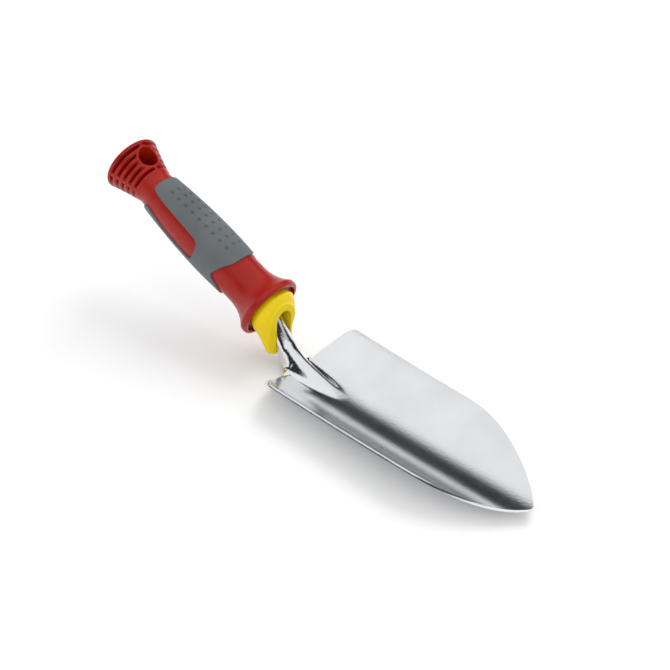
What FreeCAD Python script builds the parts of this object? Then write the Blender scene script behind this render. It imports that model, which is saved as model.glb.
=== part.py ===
"""Hand trowel with a stamped steel blade and a moulded handle, as a parametric assembly in millimetres.

Every piece is drawn in the handle's frame: X runs along the handle's axis from the butt towards the
blade's tip, Z points out of the blade's open side, and the trowel is symmetric about Y = 0. At the end
one common placement lays the finished trowel down on the back of its blade, as it rests by itself: the
blade's rim plane is level, the handle rises behind it, Z = 0 is the table, and X = Y = 0 is the middle
of the trowel's box.
"""

import FreeCAD, Part
import math
import os

from FreeCAD import Placement, Rotation, Vector
import Sketcher

SLOT_COUNT = 5      # slots across the knob

# Driving dimensions in millimetres and degrees. Each one can be changed by itself.
DRIVING = {
    # handle core: knob, barrel, waist and flange
    "handle_length": 130.0,     # butt face to the flange's front face
    "butt_radius": 18.7,
    "butt_round": 1.3,
    "throat_at": 24.0,          # narrowest place, from the butt
    "throat_radius": 11.8,
    "knob_curve": 220.0,        # radius of the knob's slightly hollow flare
    "waist_run": 7.5,
    "waist_radius": 14.0,
    "flange_radius": 20.5,
    "flange_run": 17.6,         # length of the flange's concave flare
    "flange_curve": 27.0,
    "flange_width": 3.4,
    "flange_round": 1.6,
    "recess_radius": 17.9,
    "recess_depth": 3.0,
    # knob: slots, web and hanging hole
    "slot_first": 2.5,
    "slot_pitch": 3.87,
    "slot_width": 2.0,
    "web_half": 1.2,
    "rib_half": 0.6,
    "hole_at": 11.0,
    "hole_radius": 6.1,
    "boss_wall": 1.3,
    # soft grip moulded over the barrel
    "grip_behind": 5.5,         # from the throat to the grip
    "grip_ahead": 2.0,          # from the grip to the waist
    "grip_start_radius": 13.5,
    "grip_end_radius": 15.4,
    "grip_curve": 409.0,        # radius of the barrel's gentle belly
    "grip_wall": 1.0,
    "window_setback": 28.0,     # from the grip's front edge to the windows' round ends
    "window_top": 9.0,          # the window's upper edge above the axis
    "window_rear_low": 2.0,     # its lower edge below the axis at the rear
    "window_low": 9.5,          # its lower edge below the axis in front
    "window_round": 12.0,       # radius of its front end
    "scallop_depth": 7.2,       # how far the grip's front edge draws back at the side
    "scallop_top": 13.0,
    "scallop_low": 5.5,
    # collar between the flange and the neck
    "collar_radius": 16.0,
    "collar_base": 1.6,         # straight part in front of the flange
    "collar_top_run": 6.0,      # from the flange's face to the top of the collar's front face
    "collar_top": 11.0,
    "collar_foot_run": 19.0,
    "collar_foot": 18.0,
    "collar_half": 10.8,        # half the width of its front face
    "collar_corner": 0.75,      # where the front face's side arcs meet its end arcs, as a share
    "slot_gap": 0.7,            # room on each side of the neck in its slot
    "slot_top": 6.5,
    "slot_arch": 7.0,
    "slot_run": 4.0,            # from the flange's face to the back of the slot
    "tang_gap": 0.1,            # clearance round the tang in its passage
    # blade: dish
    "metal": 1.5,               # thickness of the steel
    "blade_run": 34.6,          # from the flange's face to the rim plane's origin
    "blade_drop": 0.65,
    "blade_pitch": 19.8,
    "rim_half": 39.2,
    "rim_taper": 1.9,           # how much narrower each side is at the shoulder
    "blade_reach": 156.3,       # rim plane's origin to the tip
    "point_run": 68.3,          # shoulder to tip
    "point_curve": 84.5,        # radius of the outline from shoulder to tip
    "rear_curve": 120.0,        # radius of the rear edge seen square to the rim
    "corner_behind": 3.4,       # the rear corner's round begins this far behind the origin
    "corner_ahead": 4.0,        # and ends this far ahead of it
    "corner_inset": 4.9,
    "corner_round": 6.5,
    "dish_depth": 17.6,
    "dish_radius": 52.5,        # radius of the dish's cross section
    "spine_radius": 2200.0,     # radius of the dish along its length
    # blade: tang, neck and ridge, with places measured from the flange's face
    "tang_length": 50.0,
    "tang_half": 4.6,
    "tang_height": 4.5,         # above and below the handle's axis
    "tang_arch": 1.5,
    "neck_half": 5.6,
    "neck_depth": 9.6,
    "neck_arch": 3.0,           # height of the neck's rounded top
    "bend_run": 11.0,
    "bend_above": 8.3,          # crown of the neck above the heel's crown
    "neck_run": 21.0,
    "neck_above": 3.1,
    "heel_run": 33.4,
    "heel_rise": 8.5,           # crown of the ridge above the dish's floor
    "heel_half": 11.8,
    "heel_arch": 6.2,
    "ridge_run": 54.0,
    "ridge_rise": 1.5,
    "ridge_half": 9.8,
    "ridge_arch": 5.0,
    "ridge_end_run": 70.0,
    "ridge_end_sink": 1.0,      # crown of the ridge's last section below the floor
    "ridge_end_half": 8.0,
}

# Sizes that follow from the driving ones, as sheet formulas.
DERIVED = {
    # handle core
    "butt_face_radius": "=butt_radius - butt_round",
    "outside": "=2 * butt_radius",
    "flange_at": "=handle_length - flange_width",
    "waist_end": "=flange_at - flange_run",
    "waist_at": "=waist_end - waist_run",
    "flange_front_at": "=handle_length - flange_round",
    "flange_face_radius": "=flange_radius - flange_round",
    "recess_floor": "=handle_length - recess_depth",
    "slot_first_end": "=slot_first + slot_width",
    "slots_run": f"={SLOT_COUNT - 1} * slot_pitch",
    "slots_end": "=slot_first_end + slots_run",
    "boss_radius": "=hole_radius + boss_wall",
    # grip
    "grip_start": "=throat_at + grip_behind",
    "grip_end": "=waist_at - grip_ahead",
    "barrel_start_radius": "=grip_start_radius - grip_wall",
    "barrel_end_radius": "=grip_end_radius - grip_wall",
    "barrel_curve": "=grip_curve - grip_wall",
    "window_start": "=grip_start - grip_wall",
    "window_shoulder": "=grip_end - window_setback",
    "scallop_at": "=grip_end - scallop_depth",
    "scallop_front": "=grip_end + grip_wall",
    # collar
    "socket_half": "=tang_half + tang_gap",
    "socket_height": "=tang_height + tang_gap",
    "plug_length": "=recess_depth + collar_base",
    "collar_front_at": "=handle_length + collar_base",
    "collar_square": "=collar_radius * sqrt(0.5)",
    "collar_run": "=collar_foot_run - collar_top_run",
    "collar_fall": "=collar_top + collar_foot",
    "collar_lean": "=atan(collar_run / collar_fall)",
    "collar_middle_at": "=handle_length + collar_top_run + collar_run / 2",
    "collar_middle": "=collar_top - collar_fall / 2",
    "face_high": "=sqrt(collar_run^2 + collar_fall^2) / 2",
    "face_corner_half": "=collar_half * collar_corner",
    "face_corner_high": "=face_high * collar_corner",
    "face_end_rise": "=face_high - face_corner_high",
    "face_side_rise": "=collar_half - face_corner_half",
    "face_end_curve": "=(face_corner_half^2 + face_end_rise^2) / (2 * face_end_rise)",
    "face_side_curve": "=(face_corner_high^2 + face_side_rise^2) / (2 * face_side_rise)",
    "slot_back": "=handle_length + slot_run",
    "slot_half": "=neck_half + slot_gap",
    "slot_spring": "=slot_top - slot_arch + sqrt(slot_arch^2 - slot_half^2)",
    # blade
    "blade_at": "=handle_length + blade_run",
    "shoulder_at": "=blade_reach - point_run",
    "shoulder_half": "=rim_half - rim_taper",
    "corner_half": "=rim_half - corner_inset",
    "dish_outer": "=dish_radius + metal",
    "spine_centre": "=spine_radius - dish_radius",
    "spine_above": "=spine_radius - dish_depth",
    "spine_at": "=blade_at - spine_above * sin(blade_pitch)",
    "spine_height": "=spine_above * cos(blade_pitch) - blade_drop",
    "tang_start": "=slot_back - tang_length",
    "bend_at": "=handle_length + bend_run",
    "neck_at": "=handle_length + neck_run",
    "heel_at": "=handle_length + heel_run",
    "ridge_at": "=handle_length + ridge_run",
    "ridge_end_at": "=handle_length + ridge_end_run",
    "floor_drop": "=blade_drop + dish_depth / cos(blade_pitch)",
    "heel_foot": "=floor_drop - (heel_run - blade_run) * tan(blade_pitch)",
    "heel_drop": "=heel_foot - heel_rise",
    "bend_drop": "=heel_drop - bend_above",
    "bend_foot": "=bend_drop + neck_depth",
    "neck_drop": "=heel_drop - neck_above",
    "neck_foot": "=neck_drop + neck_depth",
    "ridge_drop": "=floor_drop - (ridge_run - blade_run) * tan(blade_pitch) - ridge_rise",
    "ridge_end_drop": "=floor_drop - (ridge_end_run - blade_run) * tan(blade_pitch) + ridge_end_sink",
    "ridge_foot": "=2 * heel_foot",
}

# Arch sections of the tang, neck and ridge: name, place, half width, crown, arch height and foot.
TANG = [
    ("tang_rear", "tang_start", "tang_half", "tang_height", "tang_arch", "-tang_height"),
    ("tang_front", "slot_back", "tang_half", "tang_height", "tang_arch", "-tang_height"),
]
NECK = [
    ("tang_front", "slot_back", "tang_half", "tang_height", "tang_arch", "-tang_height"),
    ("neck_bend", "bend_at", "neck_half", "-bend_drop", "neck_arch", "-bend_foot"),
    ("neck_middle", "neck_at", "neck_half", "-neck_drop", "neck_arch", "-neck_foot"),
    ("neck_heel", "heel_at", "heel_half", "-heel_drop", "heel_arch", "-heel_foot"),
]
RIDGE = [
    ("ridge_heel", "heel_at", "heel_half", "-heel_drop", "heel_arch", "-ridge_foot"),
    ("ridge_middle", "ridge_at", "ridge_half", "-ridge_drop", "ridge_arch", "-ridge_foot"),
    ("ridge_front", "ridge_end_at", "ridge_end_half", "-ridge_end_drop", "ridge_arch", "-ridge_foot"),
]


def section_formulas():
    """Sheet formulas of every arch section: its outside, and its inside one thickness of metal in."""
    formulas = {}
    for name, _, half, crown, arch, foot in TANG + NECK + RIDGE:
        for skin, inset in (("outside", "0"), ("inside", "metal")):
            key = f"{name}_{skin}"
            formulas[f"{key}_half"] = f"={half} - {inset}"
            formulas[f"{key}_shoulder"] = f"={crown} - {arch} - {inset}"
            formulas[f"{key}_curve"] = f"=({key}_half^2 + {arch}^2) / (2 * {arch})"
            formulas[f"{key}_foot"] = f"={foot} - 3 * {inset}"
    return formulas


class Sizes:
    """The document's spreadsheet of named sizes."""

    def __init__(self, doc):
        self.sheet = doc.addObject("Spreadsheet::Sheet", "sizes")
        cells = {**DRIVING, **DERIVED, **section_formulas()}
        for row, (name, content) in enumerate(cells.items(), start=1):
            self.sheet.set(f"A{row}", name)
            self.sheet.set(f"B{row}", str(content))
            self.sheet.setAlias(f"B{row}", name)
        doc.recompute()

    def value(self, name):
        """Number in the named cell; a leading minus sign turns it round and an empty name is zero."""
        if not name:
            return 0.0
        if name.startswith("-"):
            return -self.value(name[1:])
        content = self.sheet.get(name)
        return float(getattr(content, "Value", content))

    @staticmethod
    def expression(name):
        """Expression that reads the named cell, with its minus sign kept."""
        if name.startswith("-"):
            return "-sizes." + name[1:]
        return "sizes." + name


def bind(sketch, sizes, kind, references, name):
    """Add a dimension to the sketch and tie it to a cell."""
    index = sketch.addConstraint(Sketcher.Constraint(kind, *references, sizes.value(name)))
    sketch.setExpression(f"Constraints[{index}]", sizes.expression(name))


def locate(sketch, sizes, edge, end, corner):
    """Fix one end of an edge at the corner's two cells."""
    x_name, y_name = corner
    if not x_name and not y_name:
        sketch.addConstraint(Sketcher.Constraint("Coincident", edge, end, -1, 1))
        return
    if x_name:
        bind(sketch, sizes, "DistanceX", (-1, 1, edge, end), x_name)
    else:
        sketch.addConstraint(Sketcher.Constraint("PointOnObject", edge, end, -2))
    if y_name:
        bind(sketch, sizes, "DistanceY", (-1, 1, edge, end), y_name)
    else:
        sketch.addConstraint(Sketcher.Constraint("PointOnObject", edge, end, -1))


def arc_between(start, stop, radius, side):
    """Minor arc from start to stop with its centre on the given side of travel, and its two end numbers."""
    chord = stop - start
    towards = Vector(-chord.y, chord.x, 0).normalize()
    reach = math.sqrt(max(radius**2 - (chord.Length / 2) ** 2, 0.0))
    centre = (start + stop) / 2 + towards * (reach if side == "left" else -reach)
    first, last = (start, stop) if side == "left" else (stop, start)
    angles = [math.atan2(point.y - centre.y, point.x - centre.x) for point in (first, last)]
    arc = Part.ArcOfCircle(Part.Circle(centre, Vector(0, 0, 1), radius), *angles)
    return arc, (1, 2) if side == "left" else (2, 1)


def draw_outline(sketch, sizes, corners, arcs=None):
    """Draw a closed outline through corners given as pairs of cell names.

    Edge i runs from corner i to the next one. It is a line, or the arc that arcs[i] gives as a radius
    cell and the side of travel its centre lies on.
    """
    arcs = arcs or {}
    places = [Vector(sizes.value(x_name), sizes.value(y_name), 0) for x_name, y_name in corners]
    ends = []
    for i, start in enumerate(places):
        stop = places[(i + 1) % len(places)]
        if i in arcs:
            radius_name, side = arcs[i]
            geometry, numbers = arc_between(start, stop, sizes.value(radius_name), side)
        else:
            geometry, numbers = Part.LineSegment(start, stop), (1, 2)
        ends.append((sketch.addGeometry(geometry, False), *numbers))
    for i, (edge, first, _) in enumerate(ends):
        before, _, last = ends[i - 1]
        sketch.addConstraint(Sketcher.Constraint("Coincident", before, last, edge, first))
        locate(sketch, sizes, edge, first, corners[i])
        if i in arcs:
            bind(sketch, sizes, "Radius", (edge,), arcs[i][0])


def draw_circle(sketch, sizes, centre, radius_name):
    """Draw a circle at a pair of cell names."""
    place = Vector(sizes.value(centre[0]), sizes.value(centre[1]), 0)
    edge = sketch.addGeometry(Part.Circle(place, Vector(0, 0, 1), sizes.value(radius_name)), False)
    locate(sketch, sizes, edge, 3, centre)
    bind(sketch, sizes, "Radius", (edge,), radius_name)


def box_corners(low_x, low_y, high_x, high_y):
    """Four corners of a rectangle, from cell names."""
    return [(low_x, low_y), (high_x, low_y), (high_x, high_y), (low_x, high_y)]


class Piece:
    """A PartDesign body with short ways to add the features used here."""

    def __init__(self, doc, sizes, label):
        self.doc, self.sizes = doc, sizes
        self.body = doc.addObject("PartDesign::Body", label)
        self.body.Label = label

    def sketch(self, name, plane, offset="", tilt="", height=""):
        """Sketch on an origin plane, moved along its normal, raised, and tilted about its own x axis."""
        sketch = self.body.newObject("Sketcher::SketchObject", name)
        origin_plane = next(f for f in self.body.Origin.OriginFeatures if f.Role == plane)
        sketch.AttachmentSupport = [(origin_plane, "")]
        sketch.MapMode = "FlatFace"
        if tilt:
            turn = Rotation(Vector(-1, 0, 0), self.sizes.value(tilt))
            sketch.AttachmentOffset = Placement(Vector(), turn)
            sketch.setExpression("AttachmentOffset.Rotation.Angle", self.sizes.expression(tilt))
        if offset:
            sketch.setExpression("AttachmentOffset.Base.z", self.sizes.expression(offset))
        if height:
            sketch.setExpression("AttachmentOffset.Base.y", self.sizes.expression(height))
        return sketch

    def turn(self, kind, name, sketch):
        """Full turn of the sketch about the handle's axis: a Revolution or a Groove."""
        return self.feature(kind, name, sketch, ReferenceAxis=(sketch, ["H_Axis"]), Angle=360.0)

    def feature(self, kind, name, sketch, **properties):
        """Add a PartDesign feature, and check that it changes the body's volume."""
        before = self.body.Shape.Volume if self.body.Tip else 0.0
        feature = self.body.newObject("PartDesign::" + kind, name)
        feature.Profile = sketch
        for key, setting in properties.items():
            setattr(feature, key, setting)
        self.doc.recompute()
        if abs(self.body.Shape.Volume - before) < 1.0:
            raise RuntimeError(f"{name} leaves {self.body.Label} as it was")
        return feature


def build_handle_core(doc, sizes):
    """Red moulding: finned knob with its hanging hole, barrel under the grip, waist and flange."""
    piece = Piece(doc, sizes, "handle_core")
    profile = piece.sketch("core_profile", "XZ_Plane")
    flare = [("butt_round", "butt_radius"), ("throat_at", "throat_radius")]
    corners = [
        ("", ""),
        ("", "butt_face_radius"),
        *flare,
        ("grip_start", "barrel_start_radius"),
        ("grip_end", "barrel_end_radius"),
        ("waist_at", "waist_radius"),
        ("waist_end", "waist_radius"),
        ("flange_at", "flange_radius"),
        ("flange_front_at", "flange_radius"),
        ("handle_length", "flange_face_radius"),
        ("handle_length", "recess_radius"),
        ("recess_floor", "recess_radius"),
        ("recess_floor", ""),
    ]
    arcs = {
        1: ("butt_round", "right"),
        2: ("knob_curve", "left"),
        4: ("barrel_curve", "right"),
        7: ("flange_curve", "left"),
        9: ("flange_round", "right"),
    }
    draw_outline(profile, sizes, corners, arcs)
    piece.turn("Revolution", "core_turn", profile)

    slot = piece.sketch("slot_profile", "XZ_Plane")
    draw_outline(slot, sizes, box_corners("slot_first", "web_half", "slot_first_end", "outside"))
    draw_outline(slot, sizes, box_corners("slot_first", "-outside", "slot_first_end", "-web_half"))
    cut = piece.feature("Pocket", "knob_slot", slot, Type="ThroughAll", Midplane=True)
    slots = piece.body.newObject("PartDesign::LinearPattern", "knob_slots")
    slots.Originals = [cut]
    slots.Direction = (slot, ["H_Axis"])
    slots.setExpression("Length", "sizes.slots_run")
    slots.Occurrences = SLOT_COUNT
    piece.body.Tip = slots
    doc.recompute()

    boss = piece.sketch("boss_profile", "XY_Plane")
    draw_circle(boss, sizes, ("hole_at", ""), "boss_radius")
    pad = piece.feature("Pad", "hole_boss", boss, Midplane=True, Length=sizes.value("outside"))
    pad.setExpression("Length", "sizes.outside")
    rib = piece.sketch("rib_profile", "XY_Plane")
    draw_outline(rib, sizes, box_corners("slot_first", "-rib_half", "slots_end", "rib_half"))
    pad = piece.feature("Pad", "knob_rib", rib, Midplane=True, Length=sizes.value("outside"))
    pad.setExpression("Length", "sizes.outside")
    trim = piece.sketch("flare_trim", "XZ_Plane")
    beyond = [("throat_at", "outside"), ("butt_round", "outside")]
    draw_outline(trim, sizes, [*flare, *beyond], {0: ("knob_curve", "left")})
    piece.turn("Groove", "flare_groove", trim)

    hole = piece.sketch("hole_profile", "XY_Plane")
    draw_circle(hole, sizes, ("hole_at", ""), "hole_radius")
    piece.feature("Pocket", "hanging_hole", hole, Type="ThroughAll", Midplane=True)
    socket = piece.sketch("socket_profile", "YZ_Plane", offset="tang_start")
    bore = box_corners("-socket_half", "-socket_height", "socket_half", "socket_height")
    draw_outline(socket, sizes, bore)
    piece.feature("Pocket", "tang_socket", socket, Type="ThroughAll", Reversed=True)
    return piece.body


def build_grip(doc, sizes):
    """Grey soft sleeve over the barrel: a ring in front, with an upper and a lower tongue behind it."""
    piece = Piece(doc, sizes, "grip")
    profile = piece.sketch("grip_profile", "XZ_Plane")
    corners = [
        ("grip_start", "barrel_start_radius"),
        ("grip_start", "grip_start_radius"),
        ("grip_end", "grip_end_radius"),
        ("grip_end", "barrel_end_radius"),
    ]
    draw_outline(profile, sizes, corners, {1: ("grip_curve", "right"), 3: ("barrel_curve", "left")})
    piece.turn("Revolution", "grip_turn", profile)
    window = piece.sketch("window_profile", "XZ_Plane")
    corners = [
        ("window_start", "window_top"),
        ("window_shoulder", "window_top"),
        ("window_shoulder", "-window_low"),
        ("window_start", "-window_rear_low"),
    ]
    draw_outline(window, sizes, corners, {1: ("window_round", "right")})
    piece.feature("Pocket", "side_windows", window, Type="ThroughAll", Midplane=True)
    scallop = piece.sketch("scallop_profile", "XZ_Plane")
    corners = [("scallop_at", ""), ("scallop_front", "scallop_top"), ("scallop_front", "-scallop_low")]
    draw_outline(scallop, sizes, corners)
    piece.feature("Pocket", "side_scallops", scallop, Type="ThroughAll", Midplane=True)
    return piece.body


def build_collar(doc, sizes):
    """Yellow nose that seats in the flange and straddles the neck with two prongs."""
    piece = Piece(doc, sizes, "collar")
    plug = piece.sketch("plug_profile", "YZ_Plane", offset="recess_floor")
    draw_circle(plug, sizes, ("", ""), "collar_radius")
    pad = piece.feature("Pad", "collar_plug", plug, Length=sizes.value("plug_length"))
    pad.setExpression("Length", "sizes.plug_length")

    rear = piece.sketch("collar_rear", "YZ_Plane", offset="collar_front_at")
    square = box_corners("-collar_square", "-collar_square", "collar_square", "collar_square")
    draw_outline(rear, sizes, square, {i: ("collar_radius", "left") for i in range(4)})
    front = piece.sketch(
        "collar_face", "YZ_Plane", offset="collar_middle_at", tilt="collar_lean", height="collar_middle"
    )
    face = box_corners("-face_corner_half", "-face_corner_high", "face_corner_half", "face_corner_high")
    curves = {i: ("face_side_curve" if i % 2 else "face_end_curve", "left") for i in range(4)}
    draw_outline(front, sizes, face, curves)
    piece.feature("AdditiveLoft", "collar_nose", rear, Sections=[front], Ruled=True)

    slot = piece.sketch("neck_slot", "YZ_Plane", offset="slot_back")
    corners = box_corners("-slot_half", "-outside", "slot_half", "slot_spring")
    draw_outline(slot, sizes, corners, {2: ("slot_arch", "left")})
    piece.feature("Pocket", "neck_opening", slot, Type="ThroughAll", Reversed=True)
    passage = piece.sketch("passage_profile", "YZ_Plane", offset="recess_floor")
    bore = box_corners("-socket_half", "-socket_height", "socket_half", "socket_height")
    draw_outline(passage, sizes, bore)
    piece.feature("Pocket", "tang_passage", passage, Type="ThroughAll", Reversed=True)
    return piece.body


def arch_sketch(doc, sizes, section, skin):
    """Sketch of one arch section, square to the handle's axis."""
    name, at = section[:2]
    key = f"{name}_{skin}"
    sketch = doc.addObject("Sketcher::SketchObject", key)
    sketch.Placement = Placement(Vector(), Rotation(Vector(1, 1, 1), 120))
    sketch.setExpression("Placement.Base.x", sizes.expression(at))
    corners = box_corners(f"-{key}_half", f"{key}_foot", f"{key}_half", f"{key}_shoulder")
    draw_outline(sketch, sizes, corners, {2: (f"{key}_curve", "left")})
    return sketch


def loft(doc, name, sketches, ruled):
    """Closed solid through the sketches."""
    solid = doc.addObject("Part::Loft", name)
    solid.Sections = sketches
    solid.Solid = True
    solid.Ruled = ruled
    return solid


def torus(doc, sizes, name, tube):
    """Ring whose tube, lying along the blade, has the dish's shape at its lowest part."""
    ring = doc.addObject("Part::Torus", name)
    ring.setExpression("Radius1", "sizes.spine_centre")
    ring.setExpression("Radius2", sizes.expression(tube))
    ring.Placement = Placement(Vector(), Rotation(Vector(1, 0, 0), 90))
    ring.setExpression("Placement.Base.x", "sizes.spine_at")
    ring.setExpression("Placement.Base.z", "sizes.spine_height")
    return ring


def combine(doc, kind, name, *shapes):
    """Part boolean: a Cut or Common of two shapes, or a MultiFuse of several."""
    result = doc.addObject("Part::" + kind, name)
    if kind == "MultiFuse":
        result.Shapes = list(shapes)
        result.Refine = True
    else:
        result.Base, result.Tool = shapes
    return result


def blade_outline(doc, sizes):
    """Prism over the blade's outline, square to its rim plane."""
    sketch = doc.addObject("Sketcher::SketchObject", "outline")
    sketch.Placement = Placement(Vector(), Rotation(Vector(0, -1, 0), sizes.value("blade_pitch")))
    sketch.setExpression("Placement.Rotation.Angle", "sizes.blade_pitch")
    sketch.setExpression("Placement.Base.x", "sizes.blade_at")
    sketch.setExpression("Placement.Base.z", "-sizes.blade_drop")
    half = [
        ("-corner_behind", "corner_half"),
        ("corner_ahead", "rim_half"),
        ("shoulder_at", "shoulder_half"),
    ]
    mirrored = [(x_name, "-" + y_name) for x_name, y_name in half]
    corners = [*mirrored, ("blade_reach", ""), *reversed(half)]
    arcs = {
        0: ("corner_round", "left"),
        2: ("point_curve", "left"),
        3: ("point_curve", "left"),
        5: ("corner_round", "left"),
        6: ("rear_curve", "left"),
    }
    draw_outline(sketch, sizes, corners, arcs)
    prism = doc.addObject("Part::Extrusion", "outline_prism")
    prism.Base = sketch
    prism.DirMode = "Normal"
    prism.Solid = True
    prism.setExpression("LengthFwd", "sizes.dish_depth")
    prism.setExpression("LengthRev", "2 * sizes.dish_depth")
    return prism


def build_blade(doc, sizes):
    """One stamped sheet: dish, hollow ridge up its middle, channel neck and the tang inside the handle."""
    prism = blade_outline(doc, sizes)
    outer = torus(doc, sizes, "dish_outside", "dish_outer")
    inner = torus(doc, sizes, "dish_inside", "dish_radius")
    dish = combine(doc, "Cut", "dish", combine(doc, "Common", "dish_block", prism, outer), inner)
    runs = (("tang", TANG, True), ("neck", NECK, False), ("ridge", RIDGE, False))
    skins = {"outside": [], "inside": []}
    for skin, lofts in skins.items():
        for name, sections, ruled in runs:
            arches = [arch_sketch(doc, sizes, section, skin) for section in sections]
            lofts.append(loft(doc, f"{name}_{skin}", arches, ruled))
    tang, neck, ridge = skins["outside"]
    ridge = combine(doc, "Common", "ridge_trimmed", ridge, outer)
    sheet = combine(doc, "MultiFuse", "blade_sheet", dish, ridge, neck, tang)
    hollow = combine(doc, "MultiFuse", "blade_hollow", *skins["inside"])
    blade = combine(doc, "Cut", "blade", sheet, hollow)
    blade.Label = "blade"
    return blade


def main():
    """Build every piece, lay the trowel down, check it and export it."""
    doc = FreeCAD.newDocument("hand_trowel")
    sizes = Sizes(doc)
    pieces = [build(doc, sizes) for build in (build_handle_core, build_grip, build_collar, build_blade)]
    doc.recompute()
    lay_down(pieces, sizes)
    check(doc, pieces)
    os.makedirs("parts", exist_ok=True)
    for piece in pieces:
        piece.Shape.exportStep(f"parts/{piece.Label}.step")
        print(f"{piece.Label}: {piece.Shape.Volume / 1000:.1f} cm3")


def lay_down(pieces, sizes):
    """Level the blade's rim plane, and put the origin at the bottom centre of the trowel's box."""
    turn = Rotation(Vector(0, 1, 0), sizes.value("blade_pitch"))
    for piece in pieces:
        piece.Placement = Placement(Vector(), turn)
    box = Part.makeCompound([piece.Shape for piece in pieces]).optimalBoundingBox()
    middle = Vector(box.Center.x, 0, box.ZMin)
    for piece in pieces:
        piece.Placement = Placement(-middle, turn)


def check(doc, pieces):
    """Stop if any object failed or a piece isn't one valid solid."""
    for item in doc.Objects:
        if {"Invalid", "Error"} & set(item.State):
            raise RuntimeError(f"{item.Label}: {item.State}")
    for piece in pieces:
        if piece.Shape.isNull() or not piece.Shape.isValid() or len(piece.Shape.Solids) != 1:
            raise RuntimeError(f"{piece.Label} isn't one valid solid")


main()
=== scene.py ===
"""Hand trowel: looks of the pressed steel blade, the nose collar, the soft grip and the handle core."""
import logging
import math
from dataclasses import dataclass
from enum import Enum
from typing import Callable, Sequence

import bmesh
import bpy
from mathutils import Matrix, Vector

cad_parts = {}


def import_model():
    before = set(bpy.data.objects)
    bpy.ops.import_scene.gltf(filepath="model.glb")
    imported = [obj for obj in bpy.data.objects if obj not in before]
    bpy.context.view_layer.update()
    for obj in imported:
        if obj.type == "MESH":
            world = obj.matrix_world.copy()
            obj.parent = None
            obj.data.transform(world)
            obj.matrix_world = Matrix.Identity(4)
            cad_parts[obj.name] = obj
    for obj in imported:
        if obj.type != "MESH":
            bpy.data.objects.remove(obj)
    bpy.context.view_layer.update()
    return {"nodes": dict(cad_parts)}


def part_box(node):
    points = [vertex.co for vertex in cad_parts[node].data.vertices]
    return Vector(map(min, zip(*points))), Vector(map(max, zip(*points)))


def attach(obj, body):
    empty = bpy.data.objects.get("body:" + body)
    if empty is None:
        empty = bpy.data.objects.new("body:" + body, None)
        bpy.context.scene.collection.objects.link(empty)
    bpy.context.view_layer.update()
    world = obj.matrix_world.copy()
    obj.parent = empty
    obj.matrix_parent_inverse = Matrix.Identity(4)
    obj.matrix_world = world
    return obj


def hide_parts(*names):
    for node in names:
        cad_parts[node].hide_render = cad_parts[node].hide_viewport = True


LOG = logging.getLogger("trowel")
MM = 0.001
MERGE = 0.002 * MM
CAD_MERGE = 0.003 * MM

Point = tuple[float, float, float]
Colour = tuple[float, float, float]
Pair = tuple[float, float]
Piece = bpy.types.Object
Material = bpy.types.Material
Socket = bpy.types.NodeSocket

WHITE: Colour = (1.0, 1.0, 1.0)

# Places along the blade or across it, in millimetres, each with its value.
HEEL_STOPS = ((16.0, -8.0), (20.0, -7.7), (24.0, -6.8), (29.0, -5.2), (34.0, -2.9), (38.0, -0.7))
CROWN_RISE = ((-8.0, 9.8), (-4.0, 7.8), (0.0, 6.5), (9.0, 4.0), (17.0, 1.7), (24.0, 0.45), (29.0, 0.0))
CROWN_HALF = (
    (-9.0, 12.8), (2.0, 11.6), (11.0, 10.6), (18.0, 9.4), (24.0, 8.2), (28.0, 5.5), (30.0, 3.0),
)

# Neck stations from the blade into the collar: crown u, crown v, foot u, foot v and half-width.
NECK_STATIONS = (
    (-8.0, -7.8, -8.0, -16.05, 12.8),
    (-9.6, -6.8, -11.6, -15.75, 9.6),
    (-11.6, -5.45, -15.2, -14.9, 7.0),
    (-14.2, -3.3, -18.2, -12.0, 6.2),
    (-17.0, -1.05, -21.4, -8.4, 5.9),
    (-21.2, 3.65, -26.0, -3.2, 5.7),
    (-25.8, 9.6, -31.3, 3.6, 5.5),
    (-31.5, 15.6, -37.2, 8.6, 5.2),
    (-40.3, 20.0, -45.1, 12.2, 4.6),
)

# Places along the handle with the sleeve's radius, and with the angles of its side window.
SLEEVE_RADIUS = (
    (29.5, 13.5), (39.0, 14.4), (49.0, 15.1), (59.0, 15.7), (76.0, 16.1), (89.0, 15.9), (100.0, 15.35),
)
WINDOW_TOP = ((29.5, 45.0), (38.0, 51.0), (50.0, 53.5), (69.0, 56.0))
WINDOW_LOW = ((29.5, 95.0), (34.0, 98.0), (47.0, 108.0), (69.0, 110.0))

# Angles from the handle's top with the place of the sleeve's front edge.
SLEEVE_FRONT = (
    (0.0, 99.5), (30.0, 99.2), (52.0, 96.5), (74.0, 93.6), (90.0, 92.3), (99.0, 94.0),
    (110.0, 98.5), (125.0, 100.0), (180.0, 100.0),
)


class Slot(Enum):
    """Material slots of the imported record."""

    STEEL = "steel"
    COLLAR = "collar_plastic"
    HANDLE = "handle_plastic"
    GRIP = "grip_rubber"


def smooth(value: float, low: float, high: float) -> float:
    """Smooth step from 0 at low to 1 at high."""
    part = min(1.0, max(0.0, (value - low) / (high - low)))
    return part * part * (3.0 - 2.0 * part)


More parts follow.
